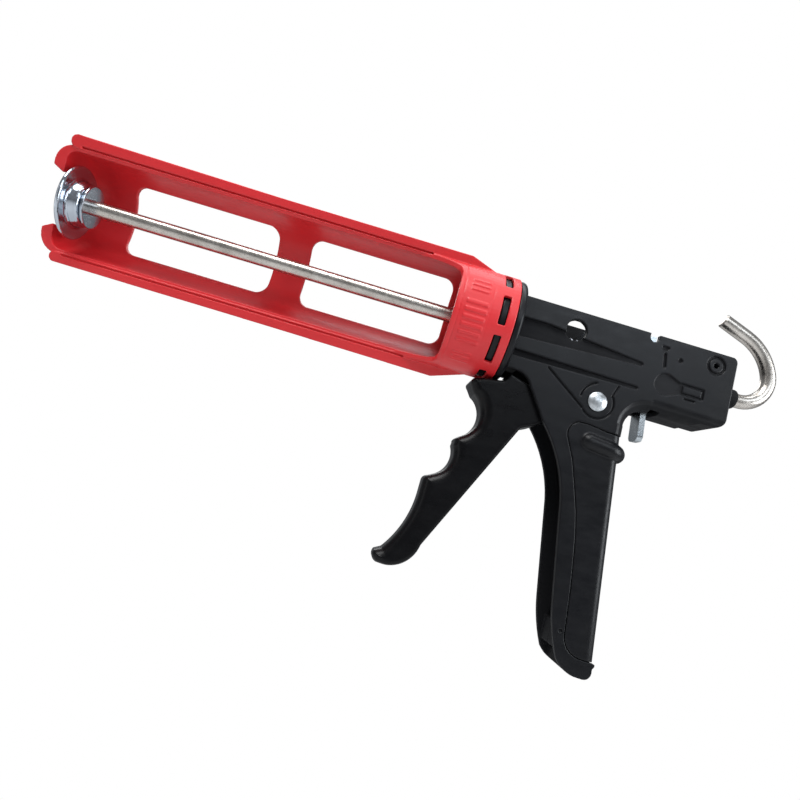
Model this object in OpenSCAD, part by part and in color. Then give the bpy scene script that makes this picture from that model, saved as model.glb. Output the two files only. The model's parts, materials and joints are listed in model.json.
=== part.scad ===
// Caulking gun with a half-shell cradle that turns about the push rod.
// X runs along the rod, from the nozzle end (-X) to the hook (+X). Z is up and the handle points down.
// The origin is on the rod axis, just in front of the black ring that the cradle seats on.

/* [Push rod] */
// Diameter of the push rod
rod_d = 8; // [7.5:0.1:8.5]
// Distance from the ring to the rear face of the plunger's boss, with the rod fully forward
plunger_x = 231; // [225:0.5:236]
// Radius of the plunger disc
plunger_r = 19.8; // [18:0.1:22]
// Straight length of rod behind the origin, before the hook bends
rod_rear_x = 138.5; // [137:0.5:150]
// Centreline radius of the hook's first bend
hook_r1 = 15; // [12:0.5:18]
// Centreline radius of the hook's second bend
hook_r2 = 28; // [24:1:34]
// Straight length at the hook's open end
hook_tail = 16; // [8:1:22]

/* [Cradle] */
// Inside radius of the cartridge trough
trough_r = 26.4; // [26.2:0.1:27.5]
// Wall thickness of the trough
trough_wall = 2.7; // [2.4:0.1:3]
// Distance from the ring to the tips of the front lips
cradle_len = 254.6; // [250:0.5:265]
// Radius of the rounded shoulder at the front
shoulder_r = 10; // [8:0.5:10]
// Radius of the nozzle mouth at the tips of the lips
mouth_r = 16.6; // [15:0.1:18.8]
// Height of the rails from the rod axis
rail_r = 33.4; // [32:0.1:35]
// Half height of the windows in the far wall
window_h = 19.4; // [16:0.1:21]
// Length of the closed collar behind the trough
collar_len = 31; // [28:0.5:34]
// Angle that the open side is turned down from level
cradle_turn = 18; // [-90:1:90]

/* [Body] */
// Half width of the body over its side walls
body_w = 14; // [13.5:0.1:15]
// Thickness of each side wall
side_wall = 2.9; // [2.5:0.1:3]
// Height of the body's top edge
body_top = 18.5; // [18:0.1:19.5]
// Distance from the ring to the body's rear face
body_rear = 126.4; // [124:0.2:128]
// Height of the body's underside at the rear
body_low = -23.5; // [-24.5:0.1:-23]
// Radius of the body's lower rear edges
low_round = 7; // [4:0.5:8]
// Radius of the black ring
ring_r = 28.2; // [27.5:0.1:29]
// Distance from the origin to the rear face of the black ring
ring_t = 5.3; // [4.5:0.1:5.5]

/* [Trigger] */
// Distance from the ring to the trigger's pivot
pivot_x = 56.2; // [55.8:0.1:56.6]
// Height of the trigger's pivot
pivot_z = -26.7; // [-27:0.1:-26.4]
// Half width of the trigger
trigger_w = 10.5; // [9:0.1:10.7]
// Radius of the pivot rivet's shank
rivet_r = 3; // [2.5:0.1:3.2]

/* [Mechanism] */
// Distance from the ring to the rear face of the drive plates
drive_x = 50; // [49.8:0.1:50.1]
// Thickness of one drive plate
drive_t = 2.5; // [2:0.1:3]
// Distance from the ring to the front face of the release plate
release_x = 83.6; // [83.4:0.1:84]
// Thickness of the release plate
release_t = 3.2; // [2.5:0.1:3.4]

/* [Hidden] */

$fn = 96;
far = 200;                            // larger than any cut needs
slack = 0.3;                          // air between parts that move apart
fit = 0.06;                           // radial running clearance
rod_r = rod_d / 2;
bore_r = rod_r + fit;
trough_out = trough_r + trough_wall;
rail_y = -3;                          // plane of the trough's open edges
inner_w = body_w - side_wall;         // half width between the side walls

red = [0.78, 0.10, 0.11];
black = [0.10, 0.10, 0.11];
steel = [0.72, 0.72, 0.74];

// ---------- helpers ----------

// Points along an arc of radius r about [x, y], from angle a to angle b
function arc(x, y, r, a, b, steps = 8) = [
    for (i = [0:steps]) [x + r * cos(a + (b - a) * i / steps), y + r * sin(a + (b - a) * i / steps)]
];

// Turns a shape built along Z so that it lies along X
module along_x() rotate([0, 90, 0]) children();

// Turned part about the rod axis, from points [radius, x]
module turned(points) along_x() rotate_extrude() polygon(points);

// Round bar along the rod axis
module bar(x0, x1, r) translate([x0, 0, 0]) along_x() cylinder(r = r, h = x1 - x0);

// Plate drawn in X and Z, from y0 to y1
module slab(y0, y1) translate([0, y1, 0]) rotate([90, 0, 0]) linear_extrude(y1 - y0) children();

// Plate drawn in Y and Z, from x0 to x1
module slab_yz(x0, x1) translate([x0, 0, 0]) rotate([90, 0, 90]) linear_extrude(x1 - x0) children();

// Round bar along Y, centred on [x, z]
module pin_y(x, z, y0, y1, r) slab(y0, y1) translate([x, z]) circle(r = r);

// Block given by its two corners
module block(low, high) translate(low) cube(high - low);

// Rectangle with round corners, from [x0, z0] to [x1, z1]
module round_rect(x0, z0, x1, z1, r) {
    translate([x0 + r, z0]) square([x1 - x0 - 2 * r, z1 - z0]);
    translate([x0, z0 + r]) square([x1 - x0, z1 - z0 - 2 * r]);
    for (x = [x0 + r, x1 - r], z = [z0 + r, z1 - r])
        translate([x, z]) circle(r = r, $fn = 48);
}

// Coil spring about the rod axis, from x0 to x1
module coil(x0, x1, r, wire, turns, sides = 8, per_turn = 20) {
    rings = turns * per_turn;
    pitch = (x1 - x0 - wire) / turns;
    points = [
        for (i = [0:rings], k = [0:sides - 1])
            let (a = 360 * i / per_turn, b = 360 * k / sides, d = r + wire / 2 * cos(b))
                [x0 + wire / 2 + pitch * i / per_turn + wire / 2 * sin(b), d * cos(a), d * sin(a)]
    ];
    skin = [
        for (i = [0:rings - 1], k = [0:sides - 1])
            let (j = (k + 1) % sides, p = i * sides, q = p + sides) [p + k, p + j, q + j, q + k]
    ];
    start = [for (k = [0:sides - 1]) sides - 1 - k];
    end = [for (k = [0:sides - 1]) rings * sides + k];
    polyhedron(points, concat(skin, [start], [end]), convexity = 10);
}

// ---------- cradle ----------

shoulder_x = -cradle_len + shoulder_r;
shoulder_z = trough_out - shoulder_r;
window_ends = [[-220.2, -135.4], [-116, -30.6]];
seat_x = 1.2;                         // front face of the ring
lip_thick = 6;                        // the shell thickens towards the lips
lip_slope = 2.7;                      // the lips' end faces slope in by this much
lip_hollow = 6;
slot_x = [-7.7, -3.6];
groove_x = [-8.4, -2.7];
slot_span = 32;
slot_angles = [21.5, 67, 113, 158.5];

// Trough, collar and rounded shoulder in one turned shell
module cradle_shell() turned(concat(
    [[trough_r, seat_x - slack], [trough_out, seat_x - slack]],
    arc(shoulder_z, shoulder_x, shoulder_r, 0, -90, 12),
    [[mouth_r + 0.5, -cradle_len], [mouth_r, -cradle_len + 0.5], [mouth_r - lip_slope, -cradle_len + lip_thick - 0.4],
     [mouth_r - lip_slope + 0.4, -cradle_len + lip_thick]],
    arc(trough_r - lip_hollow, -cradle_len + lip_thick + lip_hollow, lip_hollow, -90, 0, 10)
));

// Space in front of the trough's open edges, narrowing to the collar
module open_side() translate([0, 0, -far / 2]) linear_extrude(far) polygon([
    [-cradle_len - 5, -far], [-cradle_len - 5, rail_y], [-56, rail_y], [-46, -5], [-36, -9.5],
    [-32.5, -12.5], [-collar_len, -17], [-collar_len, -far]
]);

// Outer fin along one open edge, with a round front tip and a sloping rear end. Its height changes a little on the way.
module rail(side) {
    base = trough_out - 1.4;
    tall = side > 0 ? [1.2, 0.1, 0.3] : [0, 0.6, 1.6];
    fin = (rail_r + tall[0] - base) / 2;
    tip_x = -cradle_len + 7 + fin;
    end_x = side > 0 ? -27.2 : -30.8;
    slab(rail_y - 1, rail_y + 4) scale([1, side]) {
        translate([tip_x, base + fin]) circle(r = fin, $fn = 48);
        polygon([
            [tip_x, base], [tip_x, rail_r + tall[0]], [-130, rail_r + tall[1]], [end_x, rail_r + tall[2]],
            [-13, trough_out - 0.2], [-13, base]
        ]);
    }
}

// Thin line cut along the edge, between the trough's wall and the fin
module rail_line(side)
    block([-cradle_len + 13, rail_y - 5, side * (trough_out - 0.4) - 0.5],
          [-48, rail_y + 0.9, side * (trough_out - 0.4) + 0.5]);

// Raised bars round the collar, in place of any lettering
module collar_bars() {
    for (a = [-46, -40, -34, 34, 40, 46, 150, 156, 162, 198, 204, 210])
        rotate([-a, 0, 0]) block([-24.5, -trough_out - 0.4, -0.5], [-15.5, -trough_out + 1, 0.5]);
    for (a = [-20:8:20], back = [0, 180])
        rotate([back - a, 0, 0]) block([-25.5, -trough_out - 0.4, -0.9], [-14.5, -trough_out + 1, 0.9]);
}

module cradle() color(red) rotate([cradle_turn, 0, 0]) difference() {
    union() {
        difference() {
            cradle_shell();
            open_side();
        }
        difference() {
            union() {
                rail(1);
                rail(-1);
            }
            bar(-far - 100, 5, trough_r + 0.5);
        }
        collar_bars();
    }
    for (w = window_ends)
        slab(8, far) round_rect(w[0], -window_h, w[1], window_h, 6.5);
    // groove that the hub's snap ridge runs in, and the slots that open it to the outside
    turned([[trough_r - 1, groove_x[0]], [27.3, groove_x[0]], [27.3, groove_x[1]], [trough_r - 1, groove_x[1]]]);
    for (a = slot_angles, s = [-1, 1])
        rotate([-90 + s * a, 0, 0]) rotate([0, 90, 0]) rotate([0, 0, -slot_span / 2])
            translate([0, 0, slot_x[0]]) rotate_extrude(angle = slot_span)
                translate([trough_r - 0.5, 0]) square([5, slot_x[1] - slot_x[0]]);
    // thin turned lines on the collar
    for (x = [-28.4, -12.8])
        turned([[trough_out - 0.35, x - 0.3], [trough_out + 2, x - 0.3], [trough_out + 2, x + 0.3], [trough_out - 0.35, x + 0.3]]);
    rail_line(1);
    rail_line(-1);
}

// ---------- hub that the cradle turns on ----------

hub_r = trough_r - 0.4;
hub_front = -12;
tenon_rear = 14;
bush_r = 6;

module swivel_hub() color(black) difference() {
    union() {
        turned(concat(
            [[0, hub_front], [9, hub_front], [9, -3], [hub_r - 3, -3], [hub_r - 3, hub_front], [hub_r - 0.8, hub_front],
             [hub_r, hub_front + 0.8], [hub_r, -7.8], [27, -6.8], [27, -3.3], [hub_r, -3.3], [hub_r, seat_x],
             [ring_r, seat_x]],
            arc(ring_r - 2.2, ring_t - 2.2, 2.2, 0, 90, 6),
            [[0, ring_t]]
        ));
        block([ring_t - 1, -inner_w, -19], [tenon_rear, inner_w, 13]);
    }
    bar(hub_front - 1, tenon_rear + 1, bush_r + 0.02);
    bar(hub_front - 1, hub_front + 2.02, bush_r + 1.52);
    screw_bores();
}

module front_bushing() color(steel) difference() {
    union() {
        bar(hub_front, tenon_rear - 1, bush_r);
        bar(hub_front, hub_front + 2, bush_r + 1.5);
    }
    bar(-far, far, bore_r);
}

// ---------- body halves ----------

roof_x = 84.6;
cover_screw_x = 66;
cover_screw_z = -147.5;

// Side view of the body and handle, without the rear corners' rounding across the width
module body_outline() polygon(concat(
    [[ring_t, body_top]],
    arc(body_rear - 3, body_top - 3, 3, 90, 0, 5),
    arc(body_rear - 5, body_low + 7, 5, 0, -90, 6),
    [[body_rear - 12, body_low + 2], [body_rear - 16, body_low]],
    arc(85, body_low - 10.7, 10.7, 90, 180, 8),
    [[74.4, -41], [74.9, -53.8], [85.3, -156.3], [84.4, -157.7]],
    arc(80.6, -159.6, 4, 0, -90, 5),
    arc(78.4, -147.1, 16.5, -98, -140, 6),
    arc(143.2, -119.5, 86.5, 206, 189, 6),
    arc(-23.2, -95.7, 74.2, 7, 43, 9),
    [[21, -30]],
    arc(10.5, -32.8, 10.5, 22, 90, 5),
    [[ring_t, body_low + 1.2]]
));

// Side view of the rear cover of the handle. A grow above 0 makes the seam round it.
module cover_outline(grow = 0) polygon(concat(
    [[66 - grow, -41 + grow], [54 - grow, -39.6 + grow]],
    arc(51.6, -46.2, 6.7 + grow, 110, 200, 6),
    [[50.6 - grow, -59.6], [54.9 - grow, -72.6], [58.8 - grow, -85.4], [61.3 - grow, -97],
     [63.1 - grow, -109], [65 - grow, -123], [66.3 - grow, -136]],
    arc(77.5, -144, 10.5 + grow, 180, 262, 6),
    [[95, -155.4 - grow], [95, -41 + grow]]
));

// Rounds the lower rear edges, where the body's sides turn under
module low_edge_cut(side) difference() {
    block([85, side > 0 ? body_w - low_round : -body_w - 1, body_low - 1],
          [far, side > 0 ? body_w + 1 : -body_w + low_round, body_low + low_round]);
    translate([84, side * (body_w - low_round), body_low + low_round]) along_x() cylinder(r = low_round, h = far);
}

screw_places = [[115.1, 11.1], [10, -14], [72.5, -158.9]];
screw_r = 1.5;

module screw_bores() for (p = screw_places)
    pin_y(p[0], p[1], -body_w + 4, body_w + 1, screw_r + 0.05);

hole_x = 36.7;
hole_z = 7.9;
hole_r = 5.6;

flute_tip = 75.7;
flute_deep = 2.5;
flute_shallow = 0.9;

// Long flute cut into the side, deep at the front and running out at its tip
module flute(top, bottom, z_tip, h_tip) intersection() {
    slab(-body_w - 1, -body_w + flute_deep) polygon(concat(
        top, arc(flute_tip - h_tip / 2, z_tip, h_tip / 2, 90, -90, 4), bottom
    ));
    translate([0, 0, -30]) linear_extrude(60) polygon([
        [ring_t - 1, -body_w - 1], [flute_tip + 1, -body_w - 1],
        [flute_tip + 1, -body_w + flute_shallow], [ring_t - 1, -body_w + flute_deep]
    ]);
}

// Narrow groove between two points on the left side
module line_groove(a, b, w = 0.9, depth = 0.9) {
    d = b - a;
    translate([a[0], 0, a[1]]) rotate([0, -atan2(d[1], d[0]), 0])
        block([0, -body_w - 1, -w / 2], [norm(d), -body_w + depth, w / 2]);
}

// Round groove on the left side, between two angles
module arc_groove(x, z, r, a, b, w = 0.9, depth = 0.9)
    slab(-body_w - 1, -body_w + depth)
        polygon(concat(arc(x, z, r + w / 2, a, b, 14), arc(x, z, r - w / 2, b, a, 14)));

// Recessed key shape at the rear of the side: a round head, a neck, and a raised tongue with a groove round it
module key_relief() slab(-body_w - 1, -body_w + 1) {
    translate([89.9, -7.1]) circle(r = 6);
    polygon([[93, -1.9], [98.5, -4.4], [98.5, -9.6], [93.5, -12]]);
    difference() {
        translate([98, -9.9]) square([13.4, 6.2]);
        translate([99.6, -8.7]) square([10.6, 3.7]);
    }
    translate([101, -12.2]) square([6.5, 0.9]);
}

module side_marks() {
    flute([[ring_t - 1, 6.7], [22, 6.7], [43.2, 4.2]], [[ring_t - 1, -4.3]], 0, 1.8);
    flute([[ring_t - 1, -11.4]], [[ring_t - 1, -15.2]], -13.4, 1.6);
    line_groove([26.3, -16], [49.2, -32]);
    arc_groove(pivot_x, pivot_z, 8.9, -140, 38);
    line_groove([63.6, -21.2], [65.7, -15.3]);
    arc_groove(pivot_x + 2, pivot_z - 1, 11.6, 172, 110);
    key_relief();
    slab(-body_w - 1, -body_w + 1) {
        intersection() {
            translate([86, 13]) circle(r = 2, $fn = 32);
            translate([80, 8]) square([12, 5.4]);
        }
        translate([95.2, 7.9]) circle(r = 1.2, $fn = 32);
        translate([64.5, -143.9]) circle(r = 0.9, $fn = 32);
        translate([115.1, 11.1]) difference() {
            circle(r = 5.2);
            circle(r = 3.9);
        }
    }
    line_groove([86.3, 9.8], [87.4, 1.6], 1.4, 1);
    slab(-body_w - 1, -body_w + 6) translate([115.1, 11.1]) circle(r = 1.4, $fn = 32);
}

junction = [85, body_low - 10.7];
junction_r = 10.7;

edge_trim = 1.8;                      // the rounding stops this far short of being flush with each face
edge_swell = 0.1;                     // each section of the rounding is this much fuller than the one before
down_trim = edge_trim + 0.7;

// Rounds the side's edge where the body curves down into the handle, and on down to the handle's cover
module junction_cut(side) {
    middle = junction_r + low_round;
    translate([junction[0], 0, junction[1]]) rotate([90, 0, 0]) rotate([0, 0, 85])
        rotate_extrude(angle = 97) scale([1, -side]) difference() {
            translate([junction_r - 2, body_w - low_round + edge_trim])
                square([low_round + 2 - edge_trim, low_round + 1 - edge_trim]);
            translate([middle, body_w - low_round]) circle(r = low_round + edge_swell);
        }
    scale([1, side, 1]) difference() {
        block([junction[0] - middle + down_trim, body_w - low_round + down_trim, junction[1] - 11],
              [junction[0] - junction_r + 2, body_w + 1, junction[1]]);
        translate([junction[0] - middle, body_w - low_round, junction[1] - 12])
            cylinder(r = low_round + 2 * edge_swell, h = 13);
    }
}

// Thick wall that follows the hollow behind the handle, up to a rear limit
module junction_band(rear) intersection() {
    body_outline();
    union() {
        translate(junction) circle(r = junction_r + 8);
        translate([junction[0] - junction_r - 8, -45]) square([20, 12]);
    }
    translate([0, -60]) square([rear, 60]);
}

// One half, built on the left (-Y) side
module body_half() difference() {
    union() {
        slab(-body_w, -inner_w) body_outline();
        // rear block round the bushing, with the roof and floor in front of it
        slab(-inner_w - 0.1, 0) intersection() {
            body_outline();
            union() {
                translate([102, -far / 2]) square([far, far]);
                translate([roof_x, body_top - 3]) square([20, 10]);
                translate([91, body_low - 1]) square([20, 4]);
            }
        }
        // wall that carries the release spring
        slab(-inner_w - 0.1, 0) translate([66, -14]) square([2.6, 28]);
        // solid foot of the handle, set back from its front edge
        slab(-inner_w - 0.1, 0) intersection() {
            body_outline();
            union() {
                translate([64.3, -153]) square([10, 12]);
                translate([70, -far]) square([40, far - 155.6]);
            }
        }
        // closing wall behind the pivot, with a slot for the release plate
        slab(-inner_w - 0.1, -6.2) junction_band(86);
        slab(-6.3, 0) junction_band(78.5);
    }
    low_edge_cut(-1);
    junction_cut(-1);
    slab(-body_w - 1, 1) cover_outline(0.3);
    translate([cover_screw_x, 0, cover_screw_z]) along_x() cylinder(r = 1.22, h = 30);
    pin_y(pivot_x, pivot_z, -body_w - 1, 1, rivet_r + 0.02);
    // notch in the top edge over the release plate
    slab(-body_w - 1, 1) polygon(concat(
        [[76.6, body_top + 1], [76.6, body_top - 2]], arc(79.1, body_top - 2, 2.5, 180, 360, 8), [[81.6, body_top + 1]]
    ));
    bar(60, 75, rod_r + 0.8);
    bar(101, 103.02, rod_r + 1);
    bar(103, far, 7.02);
    side_marks();
}

module body_left() color(black) difference() {
    body_half();
    screw_bores();
    pin_y(hole_x, hole_z, -body_w - 1, 1, hole_r);
}

module body_right() color(black) difference() {
    mirror([0, 1, 0]) body_half();
    screw_bores();
    for (p = screw_places)
        pin_y(p[0], p[1], body_w - 2.2, body_w + 1, 2.95);
}

boss_rear = 136;

module rear_bushing() color(black) difference() {
    union() {
        bar(103.1, body_rear, 7);
        turned(concat([[0, body_rear - 1], [5.5, body_rear - 1]], arc(3.9, boss_rear - 1.6, 1.6, 0, 90, 4), [[0, boss_rear]]));
    }
    bar(-far, far, bore_r);
}

// ---------- handle cover ----------

stop_z = -48.3;
stop_r = 4.7;
stop_y = body_w - 1.6;                // centreline of the hand stop's sides
stop_bend = 7;
stop_run = 11;
stop_tilt = 6;
cover_lean = atan2(85.3 - 74.9, 156.3 - 53.8);
cover_wall = 3;
cover_round = 5;

// Straight bar along the handle's back, with its rear edges rounded. The grow shrinks or enlarges it.
module back_bar(w, back, r) translate([74.9, 0, -53.8]) rotate([0, -cover_lean, 0]) translate([back, 0, -130])
    linear_extrude(far) {
        translate([-60, -w]) square([60 - r, 2 * w]);
        translate([-60, -w + r]) square([60, 2 * w - 2 * r]);
        for (s = [-1, 1])
            translate([-r, s * (w - r)]) circle(r = r, $fn = 48);
    }

// Round bar that wraps the back of the handle just under the body, with round ends
module hand_stop() translate([52.4 + stop_r, 0, stop_z]) rotate([0, stop_tilt, 0]) difference() {
    union() {
        for (s = [-1, 1]) translate([0, s * stop_y, 0]) along_x() rotate_extrude()
            polygon(concat(arc(0, 0, stop_r, -90, 0, 6), [[stop_r, stop_run], [0, stop_run]]));
        for (s = [-1, 1]) translate([stop_run - 0.1, s * (stop_y - stop_bend), 0]) scale([1, s, 1]) rotate([0, 0, -1])
            rotate_extrude(angle = 92) translate([stop_bend, 0]) circle(r = stop_r - 0.05);
        translate([stop_run - 0.1 + stop_bend, 0, 0]) rotate([90, 0, 0])
            cylinder(r = stop_r, h = 2 * (stop_y - stop_bend), center = true);
    }
    translate([-20, -inner_w, -20]) cube([stop_run + 16, 2 * inner_w, 40]);
}

module grip_cover() color(black) difference() {
    union() {
        difference() {
            intersection() {
                slab(-body_w, body_w) intersection() {
                    cover_outline();
                    union() {
                        translate([0, -156.2]) square([far, 116]);
                        body_outline();
                    }
                }
                back_bar(body_w, 0, cover_round);
            }
            back_bar(inner_w, -cover_wall, cover_round - 2.5);
        }
        hand_stop();
        // post for the screw that holds the cover's foot
        translate([69.6, 0, cover_screw_z]) along_x() cylinder(r = 3.4, h = 12.9);
    }
    translate([60, 0, cover_screw_z]) along_x() cylinder(r = 1.22, h = 30);
    translate([82, 0, cover_screw_z]) along_x() cylinder(r = 2.4, h = 30);
}

module cover_screw() color(steel) translate([cover_screw_x + 0.1, 0, cover_screw_z]) along_x() {
    cylinder(r = 1.2, h = 82 - cover_screw_x);
    translate([0, 0, 81.9 - cover_screw_x]) cylinder(r = 2.3, h = 1.7);
}

// ---------- fasteners ----------

module body_screw(p) difference() {
    union() {
        pin_y(p[0], p[1], -body_w + 4.2, body_w - 2.1, screw_r);
        pin_y(p[0], p[1], body_w - 2.2, body_w - 0.3, 2.9);
    }
    for (a = [0, 90])
        translate([p[0], body_w - 1.3, p[1]]) rotate([0, a, 0]) block([-1.8, 0, -0.3], [1.8, 3, 0.3]);
}

module body_screws() color(steel) for (p = screw_places) body_screw(p);

rivet_head_r = 5.1;
rivet_head_h = 2.2;
dome_r = (pow(rivet_head_r, 2) + pow(rivet_head_h - 0.6, 2)) / (2 * (rivet_head_h - 0.6));

module pivot_rivet() color(steel) translate([pivot_x, 0, pivot_z]) rotate([90, 0, 0]) rotate_extrude()
    polygon(concat(
        [[0, -body_w - rivet_head_h]],
        [for (i = [1:6]) let (r = rivet_head_r * i / 6) [r, -body_w - rivet_head_h + dome_r - sqrt(pow(dome_r, 2) - r * r)]],
        [[rivet_head_r, -body_w], [rivet_r, -body_w], [rivet_r, body_w], [rivet_head_r, body_w]],
        [for (i = [6:-1:1]) let (r = rivet_head_r * i / 6) [r, body_w + rivet_head_h - dome_r + sqrt(pow(dome_r, 2) - r * r)]],
        [[0, body_w + rivet_head_h]]
    ));

// ---------- trigger ----------

bush_out = 4.2;
pin_x = drive_x + 2.8;
pin_z = -11.7;
pin_r = 2.5;

// Side view of the trigger. The inset moves only its front edge back.
module trigger_outline(inset) polygon(concat(
    inset > 0 ? [[12, -34.6]] : [[9, -24], [7, -28.7], [1.7, -28.7], [1.5, -29.6], [-2.5, -29.7]],
    [[-5.6 + inset, -31.4]],
    arc(-7.2 + inset, -34, 2.8, 75, 225, 6),
    arc(-13.5 + inset, -51.3, 13.3, 58, -60, 10),
    arc(-8.2 + inset, -66.2, 1.9, 130, 205, 3),
    arc(-21.3 + inset, -74.8, 12.6, 28, -66, 9),
    arc(-17.6 + inset, -90.6, 3.2, 100, 180, 4),
    arc(-75 + inset, -97, 54.2, 0, -37, 7),
    arc(-32 + inset, -133.4, 3.8, 150, 255, 5),
    arc(-29.6, -120.6, 16.6, -92, -8, 7),
    [[21.5, -51], [27.9, -48], [47, -36]],
    arc(pivot_x, pivot_z, 9.5, -120, 30, 8),
    [[60, pin_z - 2], [56.4, pin_z + 3], [51.6, pin_z + 3], [51.4, -18.6], [46, -18.6], [20, -27.5]]
));

module trigger() color(black) difference() {
    union() {
        slab(-7, 7) trigger_outline(0);
        slab(-trigger_w, trigger_w) trigger_outline(3.5);
    }
    pin_y(pivot_x, pivot_z, -far, far, bush_out + 0.02);
    pin_y(pin_x, pin_z, -far, far, pin_r + 0.02);
}

module trigger_bush() color(steel) difference() {
    pin_y(pivot_x, pivot_z, -trigger_w, trigger_w, bush_out);
    pin_y(pivot_x, pivot_z, -far, far, rivet_r + fit);
}

module push_pin() color(steel) pin_y(pin_x, pin_z, -9, 9, pin_r);

// ---------- mechanism round the rod ----------

drive_gap = 0.1;

module drive_plates() color(steel) for (i = [0, 1])
    translate([drive_x - drive_t - i * (drive_t + drive_gap), 0, 0]) difference() {
        block([0, -10, -16.5], [drive_t, 10, 12.5]);
        bar(-1, drive_t + 1, rod_r + 0.35);
    }

module drive_spring() color(steel)
    coil(tenon_rear + 1.3, drive_x - 2 * drive_t - drive_gap - 0.2, 6.2, 1.7, 8);

module spring_washer() color(steel) difference() {
    bar(tenon_rear + 0.1, tenon_rear + 1.1, 8.5);
    bar(-far, far, rod_r + 0.3);
}

release_lean = 4.5;
release_len = 57.4;
release_turn_x = release_x;
release_turn_z = body_top;

// The plate leans on the roof's front edge and its foot sits further back
module release_plate() color(steel) translate([release_turn_x, 0, release_turn_z]) rotate([0, -release_lean, 0])
    difference() {
        slab_yz(-release_t, 0) {
            translate([-10, -body_top - 12]) square([20, 24]);
            translate([-5.5, -body_top]) square([11, body_top + 1.6]);
            translate([-5.5, -release_len + 3]) square([11, 30]);
            translate([-2.5, -release_len]) square([5, 10]);
            for (s = [-1, 1])
                translate([s * 2.5, -release_len + 3]) circle(r = 3, $fn = 48);
        }
        translate([-far / 2, 0, -body_top / cos(release_lean)]) along_x() cylinder(r = rod_r + 0.5, h = far);
    }

module release_spring() color(steel) coil(68.8, release_x - release_t - 1.8, 6.6, 1.5, 4);

// ---------- push rod and plunger ----------

hook_turn = 105;
tail_angle = 159;
neck_r = 3;
cup_x = plunger_x + 2.4;              // top of the plunger's cup, where the rod's shoulder stops
swell = 0.03;                         // the hook's first bend and end are this much thicker

// Bar bent about Y, from a start point and heading, in X and Z. A thicker bar laps over its neighbours at both ends.
module bend(x, z, r, heading, angle, bar_r, lap = 0)
    translate([x - r * sin(heading), 0, z + r * cos(heading)]) rotate([90, 0, 0]) rotate([0, 0, heading - lap - 90])
        rotate_extrude(angle = angle + 2 * lap) translate([r, 0]) circle(r = bar_r, $fn = 48);

module push_rod() color(steel) {
    x1 = rod_rear_x + hook_r1 * sin(hook_turn);
    z1 = hook_r1 * (1 - cos(hook_turn));
    x2 = x1 + hook_r2 * (sin(tail_angle) - sin(hook_turn));
    z2 = z1 + hook_r2 * (cos(hook_turn) - cos(tail_angle));
    bar(-cup_x + 0.03, rod_rear_x, rod_r);
    difference() {
        bar(-cup_x - 4.2, -cup_x + 0.1, neck_r);
        difference() {
            bar(-cup_x - 2.8, -cup_x - 1.8, rod_r);
            bar(-cup_x - 3, -cup_x - 1, neck_r - 0.6);
        }
    }
    bend(rod_rear_x, 0, hook_r1, 0, hook_turn, rod_r + swell, 1);
    bend(x1, z1, hook_r2, hook_turn, tail_angle - hook_turn, rod_r);
    translate([x2, 0, z2]) rotate([0, 90 - tail_angle, 0]) {
        translate([0, 0, -0.3]) cylinder(r = rod_r + swell, h = hook_tail - 0.5);
        translate([0, 0, hook_tail - 0.81]) cylinder(r1 = rod_r + swell, r2 = rod_r - 0.8, h = 0.81);
    }
}

// Pressed disc: flat rim with a round lip, and a deep cup in the middle
module plunger_disc() color(steel) {
    top = -cup_x;
    rim = top - 6.8;
    turned(concat(
        [[neck_r + fit, top], [9.6, top]],
        arc(9.6, top - 2.4, 2.4, 90, 0, 6),
        [[12.6, top - 4.2]],
        arc(14.2, top - 4.2, 1.6, 180, 270, 4),
        arc(plunger_r - 1.1, rim, 1.1, 90, -90, 8),
        [[13.5, rim - 1.1], [11.2, rim + 0.4], [10.4, top - 3.1], [9, top - 1.6], [neck_r + fit, top - 1.6]]
    ));
}

// Bright washer between the disc and the rod's shoulder
module plunger_boss() color(steel) turned(concat(
    [[rod_r + fit, -cup_x + 0.05], [8, -cup_x + 0.05], [11, -cup_x + 0.7]],
    arc(10.8, -plunger_x - 0.8, 0.8, 0, 90, 4),
    [[rod_r + fit, -plunger_x]]
));

module rod_circlip() color(steel) difference() {
    bar(-cup_x - 2.7, -cup_x - 1.9, 5);
    bar(-far - 100, far, neck_r - 0.5);
    block([-far - 100, -1.2, 0], [far, 1.2, 10]);
}

cradle();
swivel_hub();
front_bushing();
body_left();
body_right();
grip_cover();
rear_bushing();
body_screws();
cover_screw();
pivot_rivet();
trigger();
trigger_bush();
push_pin();
drive_plates();
drive_spring();
spring_washer();
release_plate();
release_spring();
push_rod();
plunger_disc();
plunger_boss();
rod_circlip();
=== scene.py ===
# Caulking gun with a red half-shell cradle that turns on its hub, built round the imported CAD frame.
import json
import math

import bpy
import numpy as np
from mathutils import Matrix, Vector

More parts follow.
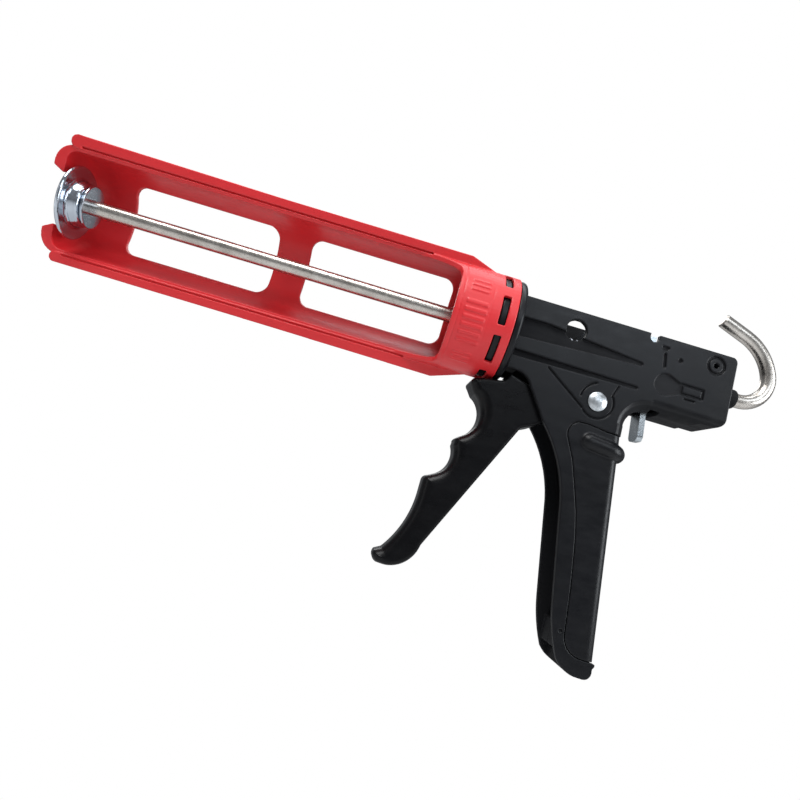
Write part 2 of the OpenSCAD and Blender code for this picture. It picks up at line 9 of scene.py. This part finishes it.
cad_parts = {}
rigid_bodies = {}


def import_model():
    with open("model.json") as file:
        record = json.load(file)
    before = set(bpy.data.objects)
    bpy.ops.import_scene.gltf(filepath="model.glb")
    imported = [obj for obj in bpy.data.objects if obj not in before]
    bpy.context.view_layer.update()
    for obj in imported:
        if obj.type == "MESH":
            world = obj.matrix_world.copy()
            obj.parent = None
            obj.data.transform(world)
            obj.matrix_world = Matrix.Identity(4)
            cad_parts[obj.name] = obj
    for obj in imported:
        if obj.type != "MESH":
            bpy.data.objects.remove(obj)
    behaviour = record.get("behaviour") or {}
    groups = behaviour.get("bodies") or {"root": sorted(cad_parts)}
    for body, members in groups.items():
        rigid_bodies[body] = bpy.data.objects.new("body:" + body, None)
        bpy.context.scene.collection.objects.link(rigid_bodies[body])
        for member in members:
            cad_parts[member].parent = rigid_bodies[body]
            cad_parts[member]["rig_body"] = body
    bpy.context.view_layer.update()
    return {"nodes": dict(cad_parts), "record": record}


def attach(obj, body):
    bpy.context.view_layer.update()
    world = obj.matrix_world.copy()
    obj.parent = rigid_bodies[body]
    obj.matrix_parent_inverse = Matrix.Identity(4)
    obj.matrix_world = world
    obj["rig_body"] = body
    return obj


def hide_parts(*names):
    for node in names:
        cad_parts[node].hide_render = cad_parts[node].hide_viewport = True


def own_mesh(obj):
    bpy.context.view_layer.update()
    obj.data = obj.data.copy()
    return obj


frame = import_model()
MM = 0.001

# ---------------------------------------------------------------- camera, fitted to the photograph

CAM_PLACE = Vector((-0.05373, -0.32188, -0.10421))
CAM_RIGHT = Vector((0.958853, -0.07456, 0.273936))
CAM_DOWN = Vector((0.282082, 0.141127, -0.948954))
SENSOR_MM = 36
LENS_MM = 27.36

cam_data = bpy.data.cameras.new("photo_camera")
cam_data.sensor_width = SENSOR_MM
cam_data.lens = LENS_MM
cam_data.clip_start = 0.01
cam_data.clip_end = 50
camera = bpy.data.objects.new("photo_camera", cam_data)
up = -CAM_DOWN
back = CAM_RIGHT.cross(up)
camera.matrix_world = Matrix((
    (CAM_RIGHT.x, up.x, back.x, CAM_PLACE.x),
    (CAM_RIGHT.y, up.y, back.y, CAM_PLACE.y),
    (CAM_RIGHT.z, up.z, back.z, CAM_PLACE.z),
    (0, 0, 0, 1),
))
bpy.context.scene.collection.objects.link(camera)
bpy.context.scene.camera = camera


# ---------------------------------------------------------------- materials

MIX_FACTOR, MIX_A, MIX_B, MIX_RESULT = 0, 6, 7, 2    # the colour sockets of Blender's Mix node


def srgb(r, g, b):
    """Linear colour from 0-255 display values."""
    return tuple(((c / 255 + 0.055) / 1.055) ** 2.4 if c > 10 else c / 255 / 12.92 for c in (r, g, b)) + (1,)


class Mat:
    """Builds a node material round one Principled shader, from patterns in the object's own coordinates."""

    def __init__(self, name):
        self.mat = bpy.data.materials.new(name)
        self.mat.use_nodes = True
        self.nodes = self.mat.node_tree.nodes
        self.links = self.mat.node_tree.links
        self.shader = next(n for n in self.nodes if n.type == "BSDF_PRINCIPLED")
        self.coords = self.add("ShaderNodeTexCoord")

    def add(self, kind, **values):
        node = self.nodes.new(kind)
        for k, v in values.items():
            setattr(node, k, v)
        return node

    def set(self, **values):
        """Sets the shader's own sockets, with _ for each space in a name."""
        for k, v in values.items():
            self.shader.inputs[k.replace("_", " ")].default_value = v

    def noise(self, scale, detail=3, rough=0.5, stretch=(1, 1, 1)):
        mapping = self.add("ShaderNodeMapping")
        mapping.inputs["Scale"].default_value = stretch
        self.links.new(self.coords.outputs["Object"], mapping.inputs["Vector"])
        tex = self.add("ShaderNodeTexNoise")
        tex.inputs["Scale"].default_value = scale
        tex.inputs["Detail"].default_value = detail
        tex.inputs["Roughness"].default_value = rough
        self.links.new(mapping.outputs["Vector"], tex.inputs["Vector"])
        return tex.outputs["Fac"]

    def ramp(self, value, stops):
        node = self.add("ShaderNodeValToRGB")
        elements = node.color_ramp.elements
        while len(elements) < len(stops):
            elements.new(0.5)
        for e, (pos, col) in zip(elements, stops):
            e.position = pos
            e.color = col
        self.links.new(value, node.inputs["Fac"])
        return node.outputs["Color"]

    def range(self, value, lo, hi, a=0.3, b=0.7):
        """Maps a value between a and b to lo and hi."""
        node = self.add("ShaderNodeMapRange")
        node.inputs["From Min"].default_value = a
        node.inputs["From Max"].default_value = b
        node.inputs["To Min"].default_value = lo
        node.inputs["To Max"].default_value = hi
        self.links.new(value, node.inputs["Value"])
        return node.outputs["Result"]

    def mix(self, share, base, colour):
        """Blends from the colour socket base to a plain colour, by the socket share."""
        node = self.add("ShaderNodeMix", data_type="RGBA")
        self.links.new(share, node.inputs[MIX_FACTOR])
        self.links.new(base, node.inputs[MIX_A])
        node.inputs[MIX_B].default_value = colour
        return node.outputs[MIX_RESULT]

    def math(self, operation, *values):
        node = self.add("ShaderNodeMath", operation=operation)
        for i, v in enumerate(values):
            self.links.new(v, node.inputs[i])
        return node.outputs[0]

    def across(self):
        """The object's own Y coordinate."""
        split = self.add("ShaderNodeSeparateXYZ")
        self.links.new(self.coords.outputs["Object"], split.inputs[0])
        return split.outputs["Y"]

    def bump(self, heights):
        """heights: (socket, strength, distance in metres) from coarse to fine."""
        last = None
        for socket, strength, distance in heights:
            node = self.add("ShaderNodeBump")
            node.inputs["Strength"].default_value = strength
            node.inputs["Distance"].default_value = distance
            self.links.new(socket, node.inputs["Height"])
            if last:
                self.links.new(last, node.inputs["Normal"])
            last = node.outputs["Normal"]
        self.links.new(last, self.shader.inputs["Normal"])

    def to(self, socket, name):
        self.links.new(socket, self.shader.inputs[name])


MATT_GAIN = 0.42          # roughness that the recesses have more than the outer faces
MATT_EDGE = 0.6 * MM      # depth over which it sets in


def plastic(name, dark, light, rough, grain=0.25, coat=0.0, level=0.5, recess=None):
    """Moulded plastic. Nearer to the middle than recess, in metres, it keeps its matt skin."""
    m = Mat(name)
    broad = m.noise(18, 4)
    fine = m.noise(2600, 2, 0.6)
    scuff = m.noise(220, 5, 0.7, (0.35, 1, 1))
    m.to(m.ramp(broad, [(0.35, dark), (0.65, light)]), "Base Color")
    polish = m.range(scuff, rough - 0.06, rough + 0.10)
    if recess:
        depth = m.math("ABSOLUTE", m.across())
        polish = m.math("ADD", polish, m.range(depth, MATT_GAIN, 0, recess, recess + MATT_EDGE))
    m.to(polish, "Roughness")
    m.set(Specular_IOR_Level=level, Coat_Weight=coat, Coat_Roughness=0.22)
    m.bump([(broad, 0.2, 0.0004), (fine, grain, 0.00006)])
    return m.mat


PIT_SHARE = 0.45          # how much of the pits' colour shows


def metal(name, dark, light, rough, stretch=(1, 1, 1), grain=0.2, scale=900, broad=60, pits=None):
    """Bare or plated metal with fine grain, and with small dark pits where their colour is given."""
    m = Mat(name)
    patches = m.noise(broad, 4)
    streak = m.noise(scale, 3, 0.6, stretch)
    tone = m.ramp(patches, [(0.3, dark), (0.7, light)])
    if pits:
        specks = m.noise(scale * 1.6, 2, 0.7, stretch)
        tone = m.mix(m.range(specks, PIT_SHARE, 0, 0.34, 0.44), tone, pits)
    m.to(tone, "Base Color")
    m.to(m.range(streak, rough - 0.07, rough + 0.10), "Roughness")
    m.set(Metallic=1.0)
    m.bump([(streak, grain, 0.00005)])
    return m.mat


MATS = {
    "red_plastic": plastic("red_moulded", srgb(208, 32, 38), srgb(216, 38, 44), 0.44, grain=0.2, coat=0.12),
    "black_plastic": plastic("black_moulded", srgb(8, 9, 12), srgb(13, 14, 18), 0.33, level=0.26,
                             recess=12.8 * MM),
    "trigger_plastic": plastic("black_trigger", srgb(5, 5, 7), srgb(9, 9, 11), 0.30, level=0.18),
    "rod_steel": metal("rod_zinc", srgb(178, 172, 165), srgb(212, 207, 200), 0.28, stretch=(0.4, 1, 1), grain=0.13,
                       scale=1300, broad=90, pits=srgb(110, 98, 90)),
    "plunger_chrome": metal("plunger_bright", srgb(176, 184, 194), srgb(204, 211, 220), 0.13),
    "rivet_steel": metal("rivet_satin", srgb(160, 166, 170), srgb(214, 218, 221), 0.36, broad=700),
    "zinc_steel": metal("zinc_bright", srgb(165, 173, 178), srgb(200, 206, 210), 0.27, grain=0.07, scale=1500),
    "spring_steel": metal("spring_wire", srgb(120, 122, 128), srgb(156, 158, 164), 0.28),
    "bearing_steel": metal("turned_steel", srgb(140, 142, 146), srgb(170, 172, 176), 0.30),
}

SLOT = {s["node"]: s["material_slot"] for s in frame["record"]["subparts"]}


def paint(obj, slot):
    obj.data.materials.clear()
    obj.data.materials.append(MATS[slot])


def smooth_shaded(obj):
    obj.data.polygons.foreach_set("use_smooth", [True] * len(obj.data.polygons))


def stand_for(obj, node):
    """Shows obj in place of a CAD node: same material, body and slot."""
    src = frame["nodes"][node]
    paint(obj, SLOT[node])
    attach(obj, src["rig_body"])
    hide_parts(node)


# ---------------------------------------------------------------- moulded pieces made from CAD solids

SMOOTHING = 0.5           # strength of each smoothing round
FACES_KEPT = 0.22         # share of the fine mesh's faces that stay
NORMAL_WEIGHT = 50


def moulded(node, voxel, rounds, mesh=None, shape=None, bores=()):
    """A copy of a CAD solid, or a mesh that stands for it, with its edges softened as they leave a mould.
    voxel is in mm. shape may move the fine mesh's points before they are softened."""
    obj = bpy.data.objects.new("moulded_" + node, mesh or frame["nodes"][node].data.copy())
    bpy.context.scene.collection.objects.link(obj)
    remesh = obj.modifiers.new("remesh", "REMESH")
    remesh.mode = "VOXEL"
    remesh.voxel_size = voxel * MM
    remesh.adaptivity = 0
    remesh.use_smooth_shade = True
    if shape:
        bake(obj)
        points = np.empty(len(obj.data.vertices) * 3)
        obj.data.vertices.foreach_get("co", points)
        obj.data.vertices.foreach_set("co", shape(points.reshape(-1, 3)).ravel())
    smooth = obj.modifiers.new("smooth", "SMOOTH")
    smooth.factor = SMOOTHING
    smooth.iterations = rounds
    lighten = obj.modifiers.new("lighten", "DECIMATE")
    lighten.ratio = FACES_KEPT
    bake(obj)
    bored(obj, bores)
    smooth_shaded(obj)
    weighted = obj.modifiers.new("weighted", "WEIGHTED_NORMAL")
    weighted.mode = "FACE_AREA"
    weighted.weight = NORMAL_WEIGHT
    weighted.keep_sharp = False
    stand_for(obj, node)


def bake(obj):
    """Applies an object's modifiers to its mesh."""
    graph = bpy.context.evaluated_depsgraph_get()
    done = bpy.data.meshes.new_from_object(obj.evaluated_get(graph))
    obj.modifiers.clear()
    old = obj.data
    obj.data = done
    bpy.data.meshes.remove(old)


# ---------------------------------------------------------------- trigger

# in mm, in the CAD model's X and Z
TRIGGER_HALF = 10.5
PIVOT = (56.2, -26.7)
PIVOT_BORE = 4.22
PUSH_PIN = (52.8, -11.7)
PIN_BORE = 2.52
CUT_HALF = 20             # half length of a bore's cutter
BORE_SIDES = 48
BLEND_ROUNDS = 6          # passes that blend the rounding from one stretch of the outline to the next
TINY = 1e-6
FAR = 1e9


def arc(x, y, r, a, b, steps=8):
    """Points along an arc, in mm and degrees."""
    turns = [math.radians(a + (b - a) * i / steps) for i in range(steps + 1)]
    return [(x + r * math.cos(t), y + r * math.sin(t)) for t in turns]


EAR_EDGE = arc(-7.2, -34, 2.8, 75, 225, 10)
FINGER_EDGE = (
    arc(-13.5, -51.3, 13.3, 58, -60, 24) + arc(-8.2, -66.2, 1.9, 130, 205, 6)
    + arc(-21.3, -74.8, 12.6, 28, -66, 20) + arc(-17.6, -90.6, 3.2, 100, 180, 8) + arc(-75, -97, 54.2, 0, -37, 20)
    + arc(-32, -133.4, 3.8, 150, 255, 10)
)
# outline with the radius that each stretch is rounded with across the trigger's width
TRIGGER_EDGE = (
    [(p, 1.2) for p in [(9, -24), (8, -27.2), (6.4, -29), (4, -29.4), (1.4, -29.7), (-0.6, -29.8)]]
    + [(p, 2.4) for p in [(-2.5, -30), (-4.5, -30.5)] + EAR_EDGE]
    + [(p, 5.6) for p in FINGER_EDGE]
    + [(p, 2.2) for p in arc(-29.6, -120.6, 16.6, -92, -8, 20) + [(21.5, -51)]]
    + [(p, 1.2) for p in [(27.9, -48), (47, -36)] + arc(*PIVOT, 9.5, -120, 30, 16)]
    + [(p, 1.2) for p in [(60, -13.7), (56.4, -8.7), (51.6, -8.7), (51.4, -18.6), (46, -18.6), (20, -27.5)]]
)


def prism(name, outline, half):
    """A mesh of an outline in X and Z drawn out to half on both sides, all in mm."""
    n = len(outline)
    verts = [(x * MM, side * half * MM, z * MM) for side in (-1, 1) for x, z in outline]
    faces = [tuple(range(n)), tuple(range(2 * n - 1, n - 1, -1))]
    faces += [(i, i + n, (i + 1) % n + n, (i + 1) % n) for i in range(n)]
    mesh = bpy.data.meshes.new(name)
    mesh.from_pydata(verts, [], faces)
    return mesh


def round_trigger(points):
    """Rounds the trigger's long edges, each stretch with its own radius."""
    p = points / MM
    a = np.array([q for q, _ in TRIGGER_EDGE], float)
    radius = np.array([r for _, r in TRIGGER_EDGE], float)
    for _ in range(BLEND_ROUNDS):
        radius = (np.roll(radius, 1) + radius + np.roll(radius, -1)) / 3
    along = np.roll(a, -1, axis=0) - a
    span = np.maximum(np.hypot(*along.T), TINY)
    area = np.sum(a[:, 0] * np.roll(a[:, 1], -1) - np.roll(a[:, 0], -1) * a[:, 1])
    inward = np.stack([-along[:, 1], along[:, 0]], 1) / span[:, None] * np.sign(area)
    corner = inward + np.roll(inward, 1, axis=0)
    corner /= np.maximum(np.hypot(*corner.T), TINY)[:, None]
    # each point's nearest place on the outline: signed distance, rounding radius and inward heading
    best = np.full(len(p), FAR)
    signed = np.zeros(len(p))
    reach = np.zeros(len(p))
    heading = np.zeros((len(p), 2))
    for i in range(len(a)):
        j = (i + 1) % len(a)
        rel = p[:, [0, 2]] - a[i]
        t = np.clip(rel @ along[i] / span[i] ** 2, 0, 1)[:, None]
        off = rel - t * along[i]
        d = np.hypot(off[:, 0], off[:, 1])
        near = d < best
        best[near] = d[near]
        toward = corner[i] * (1 - t) + corner[j] * t
        side = np.sum(off * toward, axis=1)
        signed[near] = (np.sign(side) * d)[near]
        reach[near] = (radius[i] + (radius[j] - radius[i]) * t[:, 0])[near]
        heading[near] = toward[near]
    across = np.abs(p[:, 1]) - (TRIGGER_HALF - reach)
    depth = reach - signed
    length = np.hypot(depth, across)
    turn = (depth > 0) & (across > 0) & (length > reach)
    k = np.where(turn, reach / np.maximum(length, TINY), 1)
    move = np.where(turn, depth - depth * k, 0)
    p[:, [0, 2]] += heading * move[:, None]
    p[:, 1] = np.where(turn, np.sign(p[:, 1]) * (TRIGGER_HALF - reach + across * k), p[:, 1])
    return p * MM


def bored(obj, holes):
    """Cuts round holes along Y, each (x, z, radius) in mm."""
    for x, z, r in holes:
        mesh = prism("cutter", arc(x, z, r, 0, 360, BORE_SIDES)[:-1], CUT_HALF)
        cutter = bpy.data.objects.new("cutter", mesh)
        bpy.context.scene.collection.objects.link(cutter)
        cut = obj.modifiers.new("bore", "BOOLEAN")
        cut.operation = "DIFFERENCE"
        cut.object = cutter
        bake(obj)
        bpy.data.objects.remove(cutter)
        bpy.data.meshes.remove(mesh)


for name, node in frame["nodes"].items():
    paint(node, SLOT[name])

moulded("body_left", 0.3, 3)
moulded("body_right", 0.3, 3)
moulded("cradle", 0.36, 3)
moulded("grip_cover", 0.4, 4)
moulded(
    "trigger", 0.5, 5, shape=round_trigger, bores=[(*PIVOT, PIVOT_BORE), (*PUSH_PIN, PIN_BORE)],
    mesh=prism("trigger_prism", [p for p, _ in TRIGGER_EDGE], TRIGGER_HALF),
)
moulded("swivel_hub", 0.36, 3)


# ---------------------------------------------------------------- springs

def spring(node):
    """A shown copy of a coil, standing in place of its CAD node."""
    obj = bpy.data.objects.new("wound_" + node, frame["nodes"][node].data.copy())
    bpy.context.scene.collection.objects.link(obj)
    smooth_shaded(obj)
    stand_for(obj, node)
    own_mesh(obj)


spring("drive_spring")
spring("release_spring")

# ---------------------------------------------------------------- light and floor

scene = bpy.context.scene
scene.view_settings.view_transform = "Standard"
scene.view_settings.look = "None"


WHITE = (1, 1, 1)
COOL = (0.92, 0.96, 1)
COOLER = (0.86, 0.93, 1)


def area(name, place, aim, size, power, colour=WHITE):
    """A soft rectangular light at place that points to aim."""
    data = bpy.data.lights.new(name, "AREA")
    data.shape = "RECTANGLE"
    data.size, data.size_y = size
    data.energy = power
    data.color = colour
    obj = bpy.data.objects.new(name, data)
    scene.collection.objects.link(obj)
    obj.location = place
    obj.rotation_euler = (Vector(aim) - Vector(place)).to_track_quat("-Z", "Y").to_euler()


def backdrop(nodes, links, lit, seen, output):
    """The camera sees the plain white shader seen, and everything else is lit by the shader lit."""
    path = nodes.new("ShaderNodeLightPath")
    mixer = nodes.new("ShaderNodeMixShader")
    links.new(path.outputs["Is Camera Ray"], mixer.inputs["Fac"])
    links.new(lit.outputs[0], mixer.inputs[1])
    links.new(seen.outputs[0], mixer.inputs[2])
    links.new(mixer.outputs[0], output.inputs["Surface"])


AMBIENT = 0.26
SEEN_WHITE = 1.0

world = bpy.data.worlds.new("studio")
scene.world = world
world.use_nodes = True
world_nodes = world.node_tree.nodes
ambient = world_nodes["Background"]
ambient.inputs["Strength"].default_value = AMBIENT
ambient.inputs["Color"].default_value = (0.93, 0.96, 1, 1)
sky = world_nodes.new("ShaderNodeBackground")
sky.inputs["Color"].default_value = (*WHITE, 1)
sky.inputs["Strength"].default_value = SEEN_WHITE
backdrop(world_nodes, world.node_tree.links, ambient, sky, world_nodes["World Output"])

area("key", (-0.35, -0.5, 0.9), (-0.03, 0, -0.02), (0.8, 0.45), 10.8)
area("front", (0.45, -1.1, 0.6), (0.02, 0, 0), (0.7, 0.45), 3.4, COOLER)
area("top", (0.15, 0.1, 0.9), (0.02, 0, 0), (1.0, 0.3), 3.2, COOL)
area("back", (-0.1, 1.1, 0.6), (-0.03, 0, -0.02), (0.9, 0.5), 4)
area("nose", (-0.9, -0.35, -0.15), (-0.1, 0, 0), (0.3, 0.9), 0.8)
area("tail", (0.75, -0.35, 0.1), (-0.1, 0, 0), (0.35, 0.5), 4, COOL)

FLOOR_Z = -0.4
FLOOR_HALF = 9
FLOOR_GREY = 0.75

floor_mesh = bpy.data.meshes.new("floor")
corners = [(x * FLOOR_HALF, y * FLOOR_HALF, FLOOR_Z) for x, y in ((-1, -1), (1, -1), (1, 1), (-1, 1))]
floor_mesh.from_pydata(corners, [], [(0, 1, 2, 3)])
floor = bpy.data.objects.new("floor", floor_mesh)
scene.collection.objects.link(floor)
pale = Mat("floor_pale")
pale.set(Base_Color=(FLOOR_GREY, FLOOR_GREY, FLOOR_GREY, 1), Roughness=0.9)
glow = pale.add("ShaderNodeEmission")
glow.inputs["Strength"].default_value = SEEN_WHITE
floor_out = next(n for n in pale.nodes if n.type == "OUTPUT_MATERIAL")
backdrop(pale.nodes, pale.links, pale.shader, glow, floor_out)
floor_mesh.materials.append(pale.mat)
